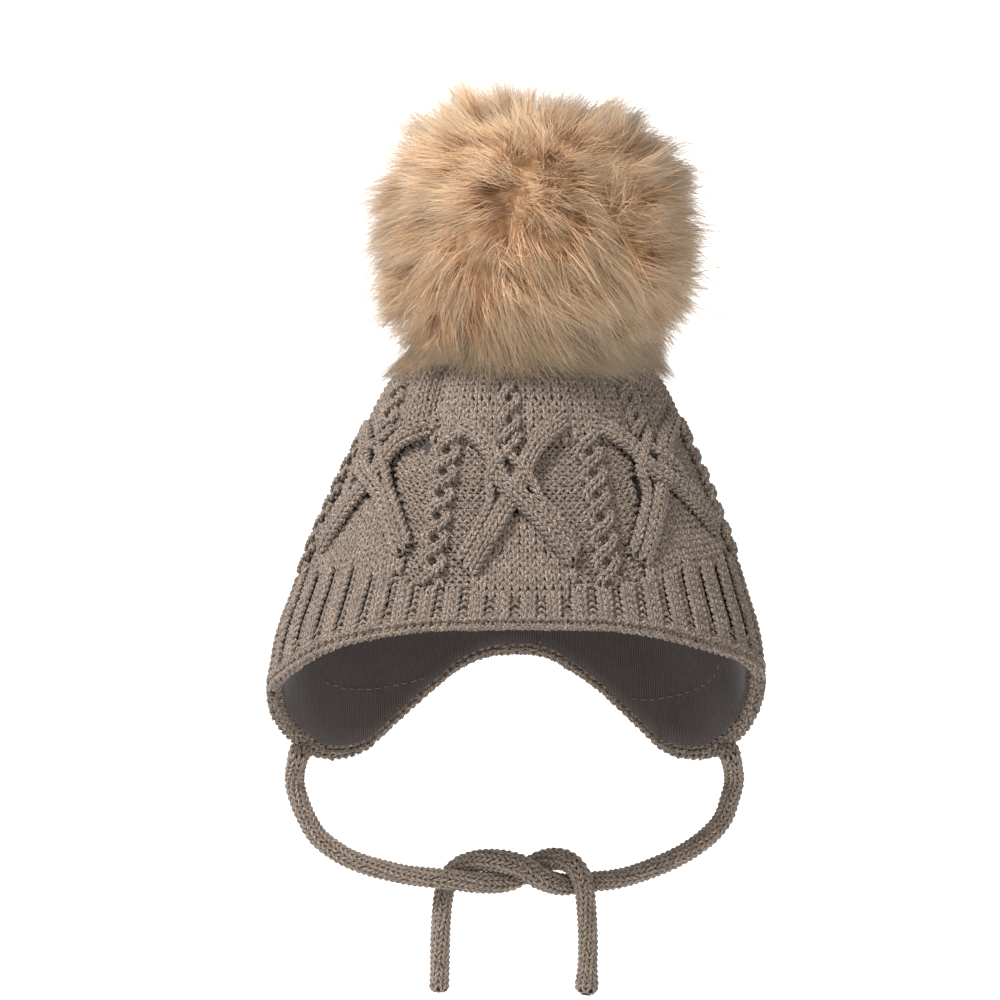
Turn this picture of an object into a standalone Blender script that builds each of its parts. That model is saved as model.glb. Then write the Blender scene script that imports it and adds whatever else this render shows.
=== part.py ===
"""A baby's knit hat: crown, two ear flaps, lining, fur pompom and two knitted ties in a half knot.

The origin is the head seat: the top of the head cavity, inside the lining. +Z is up and the front
of the hat faces -Y. All surfaces are read from one skin, the outer face of the knit, whose level
sections are ellipses of one depth share.
"""
import math

import bmesh
import bpy
import numpy as np
from mathutils import Vector

MM = 0.001

# Driving sizes, in millimetres
RIM_HALF_WIDTH = 93.8
DEPTH_SHARE = 0.59
LINING_THICKNESS = 1.0
GAP = 0.4
LINING_GAP = 0.7            # between the knit and the lining, more than the facets' sag
KNIT_THICKNESS = 4.0
FLAP_THICKNESS = 3.0
AXIS_LEAN = 0.0317          # the crown leans to -X by this share of its height downwards
RELIEF = 2.2                # how far the thick cables stand over the purl ground
RIB_RELIEF = 1.2
EDGE_BORDER = 4.2           # knitted border round the lining
TIE_DIAMETER = 6.5
TIE_GAP = 1.0
POMPOM_CENTRE = (4.5, 0.0, 38.0)
POMPOM_CORE = 47.0
POMPOM_REACH = 60.0
POMPOM_SPREAD = 0.22        # the fur spreads over the crown's shoulder
POMPOM_CLEARANCE = 2.8
FUR_FOOT_ANGLE = 37.0       # within this angle from straight down the fur rests on the crown
FUR_HEM = -12.0             # height down to which it rests
FUR_FINE = -0.60            # the core is finer below this height on a unit ball
SWIRL = (0.35, -0.75, 0.55)  # axis that the locks turn about
RIB_COUNT = 48
REPEATS = 6                 # cable repeats round the crown
COLUMNS = 2 * RIB_COUNT     # one ridge and one groove to a rib

# The skin's side outline: height, and half width as a share of RIM_HALF_WIDTH
CREST = LINING_THICKNESS + LINING_GAP + KNIT_THICKNESS
PROFILE = (
    # height, width share
    (CREST, 0.0),
    (4.7, 0.10),
    (3.2, 0.21),
    (0.4, 0.315),
    (-3.8, 0.415),
    (-9.0, 0.500),
    (-15.1, 0.562),
    (-22.8, 0.611),
    (-30.4, 0.647),
    (-38.1, 0.677),
    (-45.7, 0.715),
    (-53.4, 0.753),
    (-61.0, 0.785),
    (-68.6, 0.818),
    (-76.2, 0.850),
    (-83.8, 0.877),
    (-91.4, 0.903),
    (-99.0, 0.929),
    (-106.6, 0.957),
    (-114.1, 0.977),
    (-121.7, 0.989),
    (-130.0, 1.000),
    (-140.0, 1.000),
    (-150.0, 0.995),
    (-162.0, 0.985),
)

# Lower edge of the crown: angle from the front, height on the left and on the right
RIM = (
    # angle, left, right
    (0, -110.7, -110.7),
    (21, -110.9, -110.8),
    (33, -112.9, -112.9),
    (43, -115.3, -115.6),
    (54, -119.5, -118.9),
    (65, -125.0, -120.9),
    (78, -130.3, -124.6),
    (90, -132.4, -127.6),
    (105, -131.0, -128.0),
    (120, -127.0, -126.0),
    (140, -121.5, -121.5),
    (160, -117.6, -117.6),
    (180, -116.5, -116.5),
)

# Lower edge of the ear flaps: angle from the front, height on the left and on the right
FLAP = (
    # angle, left, right
    (91, -134.4, -130.2),
    (95, -140.0, -136.0),
    (100, -144.4, -141.8),
    (105, -147.4, -146.5),
    (113, -152.5, -152.5),
    (122, -157.6, -157.7),
    (129, -158.6, -158.6),
    (136, -157.3, -157.5),
    (141, -154.3, -154.4),
    (147, -146.9, -146.9),
    (153, -139.0, -139.2),
    (158, -132.4, -132.3),
    (163, -125.1, -126.4),
    (168, -120.3, -121.4),
)

# Height of the ribbed band over the lower edge, by angle from the front
BAND = (
    # angle, height
    (0, 12.5),
    (22, 14.0),
    (33, 20.0),
    (46, 30.0),
    (70, 40.0),
    (90, 42.0),
    (180, 26.0),
)

# One cable repeat: paths of raised stitches as (across, height) points. Across is a share of the
# repeat from its middle, heights are in millimetres.
CABLES = (
    # half width in mm, relief share, points
    (4.2, 1.0, ((-0.25, -46.0), (-0.13, -52.0), (-0.05, -60.0), (0.06, -67.0), (0.14, -72.0),
                (0.27, -84.0), (0.33, -97.0))),
    (4.2, 1.0, ((0.25, -46.0), (0.13, -52.0), (0.05, -60.0), (-0.06, -67.0), (-0.14, -72.0),
                (-0.27, -84.0), (-0.33, -97.0))),
    (3.6, 0.8, ((-0.03, -32.0), (0.0, -44.0), (0.0, -52.0))),
)
RING_HALF_WIDTH = 4.6
RING_TOP, RING_BOTTOM = -50.0, -98.0

# Soft folds in the crown: angle, top, bottom, half width in degrees, depth
FOLDS = (
    # angle, top, bottom, half width, depth
    (-36.0, -6.0, -48.0, 9.0, 2.4),
    (41.0, -10.0, -50.0, 12.0, 1.4),
    (-75.0, -20.0, -70.0, 11.0, 1.0),
    (97.0, -15.0, -60.0, 13.0, 1.4),
    (150.0, -10.0, -70.0, 12.0, 1.4),
    (-150.0, -14.0, -66.0, 12.0, 1.4),
)

# Route of each tie after it leaves its flap: across, depth, height
TIE_LEFT = (
    # across, depth, height
    (-89.8, 27.6, -167.2),
    (-88.0, 28.0, -174.9),
    (-84.7, 28.0, -182.6),
    (-79.3, 28.0, -190.2),
    (-67.1, 28.0, -197.9),
    (-48.9, 26.4, -203.0),
    (-32.5, 24.0, -204.9),
    (-17.5, 26.5, -206.4),
    (-7.5, 30.0, -205.6),
    (-0.5, 32.0, -202.1),
    (6.5, 31.0, -198.3),
    (13.5, 27.5, -197.6),
    (18.6, 24.6, -200.6),
    (21.4, 24.0, -206.0),
    (22.6, 24.6, -214.0),
    (23.4, 27.0, -229.2),
    (22.9, 28.0, -245.1),
    (22.4, 28.0, -249.9),
)
TIE_RIGHT = (
    # across, depth, height
    (80.1, 27.6, -167.2),
    (78.2, 28.0, -174.9),
    (75.3, 28.0, -182.6),
    (68.1, 28.0, -190.2),
    (55.5, 28.0, -197.9),
    (37.5, 30.2, -204.6),
    (21.8, 32.0, -206.6),
    (13.0, 29.5, -207.2),
    (5.0, 25.4, -204.6),
    (-2.5, 24.0, -200.0),
    (-11.0, 25.0, -198.0),
    (-20.6, 28.6, -198.4),
    (-27.6, 31.2, -201.6),
    (-31.2, 32.2, -207.4),
    (-32.8, 31.2, -216.5),
    (-33.4, 28.6, -229.0),
    (-33.6, 28.0, -241.0),
    (-33.8, 28.0, -248.7),
)
TIE_EXIT_ANGLE = (-116.4, 116.4)
TIE_POINT_SPACING = 6.2


def table(rows, column):
    """Angles or heights of a table, and one of its columns."""
    rows = sorted(rows)
    return np.array([r[0] for r in rows], float), np.array([r[column] for r in rows], float)


def by_angle(rows, angle):
    """A height from a left and right table at angles in degrees, -180 to 180."""
    keys, left = table(rows, 1)
    right = table(rows, 2)[1]
    a = np.abs(angle)
    return np.where(np.asarray(angle) < 0, np.interp(a, keys, left), np.interp(a, keys, right))


def smooth_line(points, step):
    """A Catmull-Rom curve through points, read at even steps along it."""
    p = np.array(points, float)
    p = np.vstack([2 * p[0] - p[1], p, 2 * p[-1] - p[-2]])
    t = np.linspace(0, 1, 24, endpoint=False)[:, None]
    runs = []
    for i in range(1, len(p) - 2):
        a, b, c, d = p[i - 1:i + 3]
        runs.append(0.5 * (2 * b + (c - a) * t + (2 * a - 5 * b + 4 * c - d) * t**2
                           + (3 * b - a - 3 * c + d) * t**3))
    dense = np.vstack(runs + [p[-2:-1]])
    along = np.concatenate([[0], np.cumsum(np.linalg.norm(np.diff(dense, axis=0), axis=1))])
    count = max(2, round(along[-1] / step)) + 1
    at = np.linspace(0, along[-1], count)
    return np.stack([np.interp(at, along, dense[:, k]) for k in range(dense.shape[1])], axis=1)


OUTLINE = smooth_line([(RIM_HALF_WIDTH * share, z) for z, share in PROFILE], 0.25)
RUN = np.concatenate([[0], np.cumsum(np.linalg.norm(np.diff(OUTLINE, axis=0), axis=1))])
SLOPE = np.gradient(OUTLINE, RUN, axis=0)
NORMAL = np.stack([-SLOPE[:, 1], SLOPE[:, 0]], axis=1)


def run_at(height):
    """Distance along the outline from the crest down to a height."""
    return np.interp(-np.asarray(height, float), -OUTLINE[:, 1], RUN)


def height_at(run):
    return np.interp(run, RUN, OUTLINE[:, 1])


def even_angles(shares):
    """Angles from the front that split an ellipse of DEPTH_SHARE into equal arcs, in degrees."""
    fine = np.radians(np.linspace(-180, 180, 3601))
    speed = np.hypot(np.cos(fine), DEPTH_SHARE * np.sin(fine))
    arc = np.concatenate([[0], np.cumsum((speed[1:] + speed[:-1]) / 2 * np.diff(fine))])
    return np.degrees(np.interp(np.asarray(shares) * arc[-1], arc, fine))


def fold_depth(angle, height):
    """How far the soft folds pull the wall in."""
    total = np.zeros(np.broadcast(angle, height).shape)
    for middle, top, bottom, half, depth in FOLDS:
        off = (np.asarray(angle) - middle + 180) % 360 - 180
        along = np.clip((top - np.asarray(height)) / (top - bottom), 0, 1)
        total = total + depth * np.exp(-(off / half) ** 2 * 2) * np.sin(math.pi * along) ** 0.8
    return total


def skin(run, angle, inward=0.0, folds=1.0):
    """Points of the crown's outer face moved inward, from a run down the outline and an angle."""
    run, angle = np.broadcast_arrays(np.asarray(run, float), np.asarray(angle, float))
    half = np.interp(run, RUN, OUTLINE[:, 0])
    z = np.interp(run, RUN, OUTLINE[:, 1])
    nr = np.interp(run, RUN, NORMAL[:, 0])
    nz = np.interp(run, RUN, NORMAL[:, 1])
    inward = inward + folds * fold_depth(angle, z)
    across = np.maximum(half - inward * nr, 0.02 * half)
    depth = np.maximum(DEPTH_SHARE * half - inward * nr, 0.02 * half)
    z = z - inward * nz
    a = np.radians(angle)
    return np.stack([AXIS_LEAN * z + across * np.sin(a), -depth * np.cos(a), z], axis=-1)


def along_path(x, y, path):
    """Distance from points to a bent line."""
    best = np.full(np.shape(x), 1e9)
    for (x0, y0), (x1, y1) in zip(path[:-1], path[1:]):
        dx, dy = x1 - x0, y1 - y0
        t = np.clip(((x - x0) * dx + (y - y0) * dy) / (dx * dx + dy * dy), 0, 1)
        best = np.minimum(best, np.hypot(x - x0 - t * dx, y - y0 - t * dy))
    return best


def relief(share, run, angle):
    """How far the knit's outer face lies under the skin: ribs, cables, rings and purl ground."""
    z = height_at(run)
    rim = by_angle(RIM, angle)
    keys, band = table(BAND, 1)
    over_band = z - rim - np.interp(np.abs(angle), keys, band)
    column = np.round(share * COLUMNS).astype(int)
    ribs = np.where(column % 2 == 0, 0.0, RIB_RELIEF)
    repeat = (share * REPEATS + 0.5) % 1.0 - 0.5
    pitch = 2 * math.pi * 0.81 * np.interp(run, RUN, OUTLINE[:, 0]) / REPEATS
    sunk = np.full(z.shape, RELIEF)
    plain = z > -42.0
    sunk = np.where(plain, RELIEF * 0.6, sunk)
    for half, amount, path in CABLES:
        line = [(x * 80.0, y) for x, y in path]
        away = along_path(repeat * 80.0, z, line) * pitch / 80.0
        lift = amount * np.clip(1.25 - away / half, 0, 1)
        sunk = np.minimum(sunk, RELIEF * (1 - lift))
    ring = (repeat % 1.0 - 0.5) * pitch
    inside = (z < RING_TOP) & (z > RING_BOTTOM)
    row = np.round((RING_TOP - z) / 4.4).astype(int)
    hole = (row % 2 == 1) & (np.abs(ring) < 1.6)
    lift = np.clip(1.3 - np.abs(ring) / RING_HALF_WIDTH, 0, 1) * np.where(hole, 0.1, 1.0)
    sunk = np.where(inside, np.minimum(sunk, RELIEF * (1 - lift)), sunk)
    fade = np.clip(-z / 12.0, 0, 1)
    return np.where(over_band < 0, ribs, sunk * fade)


def mesh_object(name, points, faces, base, rough):
    mesh = bpy.data.meshes.new(name)
    mesh.from_pydata([tuple(p) for p in np.asarray(points) * MM], [], [tuple(f) for f in faces])
    made = bmesh.new()
    made.from_mesh(mesh)
    bmesh.ops.recalc_face_normals(made, faces=made.faces)
    made.to_mesh(mesh)
    made.free()
    mesh.shade_smooth()
    mesh.set_sharp_from_angle(angle=math.radians(35))
    mesh.materials.append(cloth(name, base, rough))
    made_object = bpy.data.objects.new(name, mesh)
    bpy.context.collection.objects.link(made_object)
    return made_object


def cloth(name, base, rough):
    material = bpy.data.materials.new(name + "_material")
    material.use_nodes = True
    shader = material.node_tree.nodes["Principled BSDF"]
    shader.inputs["Base Color"].default_value = (*base, 1.0)
    shader.inputs["Roughness"].default_value = rough
    return material


def cup(rings, crest_out, crest_in):
    """One closed shell from rings that run from the outer crest over the edge to the inner crest."""
    count = len(rings[0])
    points = [crest_out] + [p for ring in rings for p in ring] + [crest_in]
    faces = []
    last = len(points) - 1
    for j in range(count):
        k = (j + 1) % count
        faces.append((0, 1 + j, 1 + k))
        for i in range(len(rings) - 1):
            a, b = 1 + i * count, 1 + (i + 1) * count
            faces.append((a + k, a + j, b + j, b + k))
        end = 1 + (len(rings) - 1) * count
        faces.append((last, end + k, end + j))
    return points, faces


def slab(outer, inner):
    """A closed sheet from two grids of points with the same rows and columns."""
    rows, columns = outer.shape[:2]
    points = np.concatenate([outer.reshape(-1, 3), inner.reshape(-1, 3)])
    under = rows * columns

    def at(i, j, side):
        return side * under + i * columns + j

    faces = []
    for i in range(rows - 1):
        for j in range(columns - 1):
            faces.append((at(i, j, 0), at(i + 1, j, 0), at(i + 1, j + 1, 0), at(i, j + 1, 0)))
            faces.append((at(i, j, 1), at(i, j + 1, 1), at(i + 1, j + 1, 1), at(i + 1, j, 1)))
    for i in range(rows - 1):
        for j in (0, columns - 1):
            faces.append((at(i, j, 0), at(i, j, 1), at(i + 1, j, 1), at(i + 1, j, 0)))
    for j in range(columns - 1):
        for i in (0, rows - 1):
            faces.append((at(i, j, 0), at(i, j + 1, 0), at(i, j + 1, 1), at(i, j, 1)))
    return points, faces


DOME_RUNS = (9.0, 20.0, 33.0, 47.0)
WALL_ROWS = 19
INNER_ROWS = 8
INNER_FOLDS = 0.4           # share of the folds that shows inside


def wall_runs(edge_height, rows):
    """Runs from the dome's last ring down to the lower edge, one row of values to a ring."""
    start, end = DOME_RUNS[-1], run_at(edge_height)
    return [start + (end - start) * (i + 1) / rows for i in range(rows)]


def crown():
    """The knitted crown: ribbed band, cables, ring columns and folds outside, plain inside."""
    share = np.arange(COLUMNS) / COLUMNS - 0.5
    angle = even_angles(share + 0.5)
    edge = by_angle(RIM, angle)
    runs = [np.full(COLUMNS, r) for r in DOME_RUNS] + wall_runs(edge, WALL_ROWS)
    rings = [skin(r, angle, relief(share, r, angle)) for r in runs]
    inner = [np.full(COLUMNS, r) for r in DOME_RUNS] + wall_runs(edge, INNER_ROWS)
    rings += [skin(r, angle, KNIT_THICKNESS, INNER_FOLDS) for r in reversed(inner)]
    top = skin(0.0, 0.0)
    return mesh_object("knit_crown", *cup(rings, top, top - [0, 0, KNIT_THICKNESS]),
                       (0.26, 0.205, 0.165), 0.9)


def lining_edge(angle):
    """Height of the lining's lower edge: a border above the edge of the crown or flap."""
    keys = np.array([r[0] for r in FLAP], float)
    edge = by_angle(RIM, angle) + EDGE_BORDER
    flap = by_angle(FLAP, angle) + EDGE_BORDER
    inside = (np.abs(angle) > keys[0]) & (np.abs(angle) < keys[-1])
    return np.where(inside, np.minimum(flap, edge), edge)


def lining():
    """The jersey lining of crown and flaps, one shell."""
    columns = COLUMNS // 2
    angle = even_angles(np.arange(columns) / columns)
    edge = lining_edge(angle)
    runs = [np.full(columns, r) for r in DOME_RUNS] + wall_runs(edge, INNER_ROWS)
    out = KNIT_THICKNESS + LINING_GAP
    rings = [skin(r, angle, out, INNER_FOLDS) for r in runs]
    rings += [skin(r, angle, out + LINING_THICKNESS, INNER_FOLDS) for r in reversed(runs)]
    top = skin(0.0, 0.0) - [0, 0, out]
    return mesh_object("lining", *cup(rings, top, top - [0, 0, LINING_THICKNESS]),
                       (0.078, 0.063, 0.058), 0.85)


def flap_edge(angle):
    return by_angle(FLAP, angle)


def flap(name, side):
    """An ear flap: a knitted sheet from the crown's edge down to its own round edge."""
    columns, rows = 21, 5
    keys = np.array([r[0] for r in FLAP], float)
    angle = side * np.linspace(keys[0], keys[-1], columns)
    top = run_at(by_angle(RIM, angle)) + GAP
    bottom = run_at(flap_edge(angle))
    grid = np.stack([top + (bottom - top) * i / (rows - 1) for i in range(rows)])
    outer = skin(grid, angle[None, :], 0.25)
    inner = skin(grid, angle[None, :], 0.25 + FLAP_THICKNESS)
    return mesh_object(name, *slab(outer, inner), (0.26, 0.205, 0.165), 0.9)


def clear_of_crown(point, clearance):
    """The point, moved level away from the crown's axis until it stands clear of the crown."""
    x, y, z = point
    half = np.interp(run_at(min(z, CREST)), RUN, OUTLINE[:, 0])
    x = x - AXIS_LEAN * z
    k = math.hypot(x / (half + clearance), y / (DEPTH_SHARE * half + clearance))
    if z > CREST or k >= 1:
        return np.array(point)
    return np.array([AXIS_LEAN * z + x / k, y / k, z])


def pompom():
    """The fur pompom: a ball wholly of tapered locks that swirl, dented below by the crown."""
    ball = bmesh.new()
    bmesh.ops.create_icosphere(ball, subdivisions=2, radius=1.0)
    lower = [e for e in ball.edges if min(v.co.z for v in e.verts) < FUR_FINE]
    bmesh.ops.subdivide_edges(ball, edges=lower, cuts=1, use_grid_fill=True)
    bmesh.ops.triangulate(ball, faces=ball.faces)
    ball.verts.ensure_lookup_table()
    unit = np.array([v.co.normalized() for v in ball.verts])
    faces = [tuple(v.index for v in f.verts) for f in ball.faces]
    ball.free()
    centre = np.array(POMPOM_CENTRE)
    free = POMPOM_CORE * np.minimum(1 + POMPOM_SPREAD * np.clip(-unit[:, 2], 0, 1), 1.15)
    points = centre + unit * free[:, None]
    tilt = np.degrees(np.arccos(np.clip(-unit[:, 2], -1, 1)))
    rests = tilt < FUR_FOOT_ANGLE
    around = np.degrees(np.arctan2(unit[:, 0], -unit[:, 1]))
    foot = skin(run_at(FUR_HEM) * tilt / FUR_FOOT_ANGLE, around, -POMPOM_CLEARANCE, 0.0)
    foot[tilt < 1.0] = skin(0.0, 0.0) + [0.0, 0.0, 1.5 * GAP]
    points = list(np.where(rests[:, None], foot, points))
    made = []
    for number, (a, b, c) in enumerate(faces):
        if rests[a] and rests[b] and rests[c]:
            made.append((a, b, c))
            continue
        middle = unit[a] + unit[b] + unit[c]
        middle = middle / np.linalg.norm(middle)
        flow = np.cross(SWIRL, middle) * 0.16 + np.array([0.0, 0.0, -0.10])
        way = middle + flow - middle * (flow @ middle)
        way = way / np.linalg.norm(way)
        wave = 0.5 + 0.5 * math.sin(number * 2.399)
        reach = POMPOM_REACH * (0.93 + 0.07 * wave)
        reach = reach * min(1 + POMPOM_SPREAD * max(0.0, -middle[2]), 1.15)
        base = (points[a] + points[b] + points[c]) / 3
        at = len(points)
        tip = centre + way * reach
        tip = clear_of_crown(tip, 1.6 * POMPOM_CLEARANCE)
        ring = [base + (points[i] - base) * 0.80 + (tip - base) * 0.50 for i in (a, b, c)]
        points += [clear_of_crown(p, 1.3 * POMPOM_CLEARANCE) for p in ring] + [tip]
        for i, (p, q) in enumerate(((a, b), (b, c), (c, a))):
            r, s = at + i, at + (i + 1) % 3
            made.append((p, q, s, r))
            made.append((r, s, at + 3))
    return mesh_object("pompom", points, made, (0.55, 0.40, 0.26), 0.8)


def tie(name, side, route):
    """A knitted cord from the edge of its flap along its route."""
    angle = TIE_EXIT_ANGLE[0 if side < 0 else 1]
    around = np.array([angle - 1.5, angle, angle + 1.5])
    edge = skin(run_at(flap_edge(around)), around, 0.25 + FLAP_THICKNESS / 2)
    lie = (edge[2] - edge[0]) / np.linalg.norm(edge[2] - edge[0])
    away = np.array([0.0, 0.0, -1.0]) - lie * (np.array([0.0, 0.0, -1.0]) @ lie)
    away = away / np.linalg.norm(away)
    start = edge[1] + away * TIE_GAP
    second = start + away * 4.0
    line = smooth_line([start, second, *route], TIE_POINT_SPACING)
    curve = bpy.data.curves.new(name, "CURVE")
    curve.dimensions = "3D"
    spline = curve.splines.new("POLY")
    spline.points.add(len(line) - 1)
    for point, place in zip(spline.points, line * MM):
        point.co = (*place, 1.0)
    curve.bevel_depth = TIE_DIAMETER / 2 * MM
    curve.bevel_resolution = 2
    curve.use_fill_caps = True
    curve.materials.append(cloth(name, (0.30, 0.245, 0.20), 0.9))
    made = bpy.data.objects.new(name, curve)
    bpy.context.collection.objects.link(made)
    return made


for old in list(bpy.data.objects):
    bpy.data.objects.remove(old)

crown()
lining()
flap("ear_flap_left", -1)
flap("ear_flap_right", 1)
pompom()
tie("tie_left", -1, TIE_LEFT)
tie("tie_right", 1, TIE_RIGHT)
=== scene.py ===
# %% [markdown]
# # A baby's knit hat, stitch by stitch
# The real hat is knitted wool with a fur pompom, a jersey lining, two ear flaps and two knitted
# ties in a loose half knot. Here every visible stitch is a loop of yarn with real thickness, laid
# on the hat's own surface. A picture of knitting would be quicker, but it has no shadow between
# the loops and falls apart from the side.

# %% Load the imported frame
import math

import bpy
import numpy as np
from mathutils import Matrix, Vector


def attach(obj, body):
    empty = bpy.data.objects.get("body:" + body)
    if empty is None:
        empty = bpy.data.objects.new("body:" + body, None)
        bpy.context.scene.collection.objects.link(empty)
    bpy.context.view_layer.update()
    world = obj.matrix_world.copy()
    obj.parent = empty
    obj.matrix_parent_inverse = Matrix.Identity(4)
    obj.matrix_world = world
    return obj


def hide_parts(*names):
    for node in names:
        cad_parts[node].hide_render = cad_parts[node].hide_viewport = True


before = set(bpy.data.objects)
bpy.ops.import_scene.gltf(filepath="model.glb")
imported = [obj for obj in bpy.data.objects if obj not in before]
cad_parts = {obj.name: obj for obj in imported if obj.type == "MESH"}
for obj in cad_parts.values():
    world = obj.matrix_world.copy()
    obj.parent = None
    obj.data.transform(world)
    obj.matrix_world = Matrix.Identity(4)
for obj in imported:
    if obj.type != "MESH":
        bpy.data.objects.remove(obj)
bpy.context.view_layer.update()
MM = 0.001
rng = np.random.default_rng(7)
print("nodes", sorted(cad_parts))

# %% [markdown]
# ## Camera
# A product photographer uses a long lens from a metre or so away, a little below the brim, so the
# lining shows. Size and place come from one aim point and one distance.

# %% Camera
AIM = np.array([-10.4, 0.0, -61.0])
DISTANCE = 1055.0
ELEVATION = math.radians(-5.0)


def add_camera():
    """The camera stands DISTANCE from AIM, turned ELEVATION above the horizon."""
    away = np.array([0.0, -math.cos(ELEVATION), math.sin(ELEVATION)])
    data = bpy.data.cameras.new("camera")
    data.lens, data.sensor_width, data.clip_end = 100.0, 36.0, 20.0
    camera = bpy.data.objects.new("camera", data)
    camera.location = Vector((AIM + away * DISTANCE) * MM)
    camera.rotation_euler = Vector(-away).to_track_quat("-Z", "Y").to_euler()
    bpy.context.collection.objects.link(camera)
    bpy.context.scene.camera = camera
    return camera


camera = add_camera()
print("camera at", tuple(round(c, 3) for c in camera.location))

# %% [markdown]
# ## The hat's own surface
# Everything is laid on one skin, the outer face of the knit. Its level sections are ellipses of
# one depth share, and its side outline is a short table of heights and half widths.

# %% The skin
RIM_HALF_WIDTH, DEPTH_SHARE, AXIS_LEAN, CREST = 93.8, 0.59, 0.0317, 5.7
PROFILE = (
    (CREST, 0.0), (4.7, 0.10), (3.2, 0.21), (0.4, 0.315), (-3.8, 0.415), (-9.0, 0.500),
    (-15.1, 0.562), (-22.8, 0.611), (-30.4, 0.647), (-38.1, 0.677), (-45.7, 0.715),
    (-53.4, 0.753), (-61.0, 0.785), (-68.6, 0.818), (-76.2, 0.850), (-83.8, 0.877),
    (-91.4, 0.903), (-99.0, 0.929), (-106.6, 0.957), (-114.1, 0.977), (-121.7, 0.989),
    (-130.0, 1.000), (-140.0, 1.000), (-150.0, 0.995), (-162.0, 0.985),
)
# angle from the front, height of the lower edge on the left and on the right
RIM = np.array([
    (0, -110.7, -110.7), (21, -110.9, -110.8), (33, -112.9, -112.9), (43, -115.3, -115.6),
    (54, -119.5, -118.9), (65, -125.0, -120.9), (78, -130.3, -124.6), (90, -132.4, -127.6),
    (105, -131.0, -128.0), (120, -127.0, -126.0), (140, -121.5, -121.5), (160, -117.6, -117.6),
    (180, -116.5, -116.5),
])
FLAP = np.array([
    (91, -134.4, -130.2), (95, -140.0, -136.0), (100, -144.4, -141.8), (105, -147.4, -146.5),
    (113, -152.5, -152.5), (122, -157.6, -157.7), (129, -158.6, -158.6), (136, -157.3, -157.5),
    (141, -154.3, -154.4), (147, -146.9, -146.9), (153, -139.0, -139.2), (158, -132.4, -132.3),
    (163, -125.1, -126.4), (168, -120.3, -121.4),
])
# angle from the front, height of the ribbed band over the lower edge
BAND = np.array([(0, 12.5), (22, 14.0), (33, 20.0), (46, 30.0), (70, 40.0), (90, 42.0),
                 (180, 26.0)])
# angle, top, bottom, half width in degrees, depth
FOLDS = (
    (-36.0, -6.0, -48.0, 9.0, 2.4), (41.0, -10.0, -50.0, 12.0, 1.4),
    (-75.0, -20.0, -70.0, 11.0, 1.0), (97.0, -15.0, -60.0, 13.0, 1.4),
    (150.0, -10.0, -70.0, 12.0, 1.4), (-150.0, -14.0, -66.0, 12.0, 1.4),
)


def lengths_along(points):
    """The length along a row of points from the first to each."""
    return np.concatenate([[0], np.cumsum(np.linalg.norm(np.diff(points, axis=0), axis=1))])


def smooth_line(points, step):
    """A Catmull-Rom curve through points, read at even steps along it."""
    p = np.array(points, float)
    p = np.vstack([2 * p[0] - p[1], p, 2 * p[-1] - p[-2]])
    t = np.linspace(0, 1, 24, endpoint=False)[:, None, None]
    a, b, c, d = p[:-3], p[1:-2], p[2:-1], p[3:]
    runs = 0.5 * (2 * b + (c - a) * t + (2 * a - 5 * b + 4 * c - d) * t**2
                  + (3 * b - a - 3 * c + d) * t**3)
    dense = np.vstack([runs.transpose(1, 0, 2).reshape(-1, p.shape[1]), p[-2:-1]])
    along = lengths_along(dense)
    at = np.linspace(0, along[-1], max(2, round(along[-1] / step)) + 1)
    return np.stack([np.interp(at, along, dense[:, k]) for k in range(p.shape[1])], axis=1)


OUTLINE = smooth_line([(RIM_HALF_WIDTH * share, z) for z, share in PROFILE], 0.25)
RUN = lengths_along(OUTLINE)
SLOPE = np.gradient(OUTLINE, RUN, axis=0)
FINE = np.radians(np.linspace(-180, 180, 3601))
SPEED = np.hypot(np.cos(FINE), DEPTH_SHARE * np.sin(FINE))
ARC = np.concatenate([[0], np.cumsum((SPEED[1:] + SPEED[:-1]) / 2 * np.diff(FINE))])


def by_angle(table, angle):
    """Heights from a table's left and right columns at angles of -180 to 180 degrees."""
    a = np.abs(angle)
    return np.where(np.asarray(angle) < 0, np.interp(a, table[:, 0], table[:, 1]),
                    np.interp(a, table[:, 0], table[:, 2]))


def run_at(height):
    """Distance down the outline from the crest to a height."""
    return np.interp(-np.asarray(height, float), -OUTLINE[:, 1], RUN)


def half_at(run):
    return np.interp(run, RUN, OUTLINE[:, 0])


def height_at(run):
    return np.interp(run, RUN, OUTLINE[:, 1])


def flap_run(angle):
    """Run of the flaps' lower edge."""
    return run_at(by_angle(FLAP, angle))


def angle_of(share):
    """Angle from the front of a share of the way round, -0.5 to 0.5, by equal arcs."""
    share = (np.asarray(share) + 0.5) % 1.0
    return np.degrees(np.interp(share * ARC[-1], ARC, FINE))


def around(run):
    """Length once round the hat at a run down the outline."""
    return ARC[-1] * half_at(run)


def fold_depth(angle, height):
    """Soft folds: a bell across the angle times half a sine down the height."""
    total = np.zeros(np.broadcast(angle, height).shape)
    for middle, top, bottom, half, depth in FOLDS:
        off = (np.asarray(angle) - middle + 180) % 360 - 180
        along = np.clip((top - np.asarray(height)) / (top - bottom), 0, 1)
        total = total + depth * np.exp(-(off / half) ** 2 * 2) * np.sin(math.pi * along) ** 0.8
    return total


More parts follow.
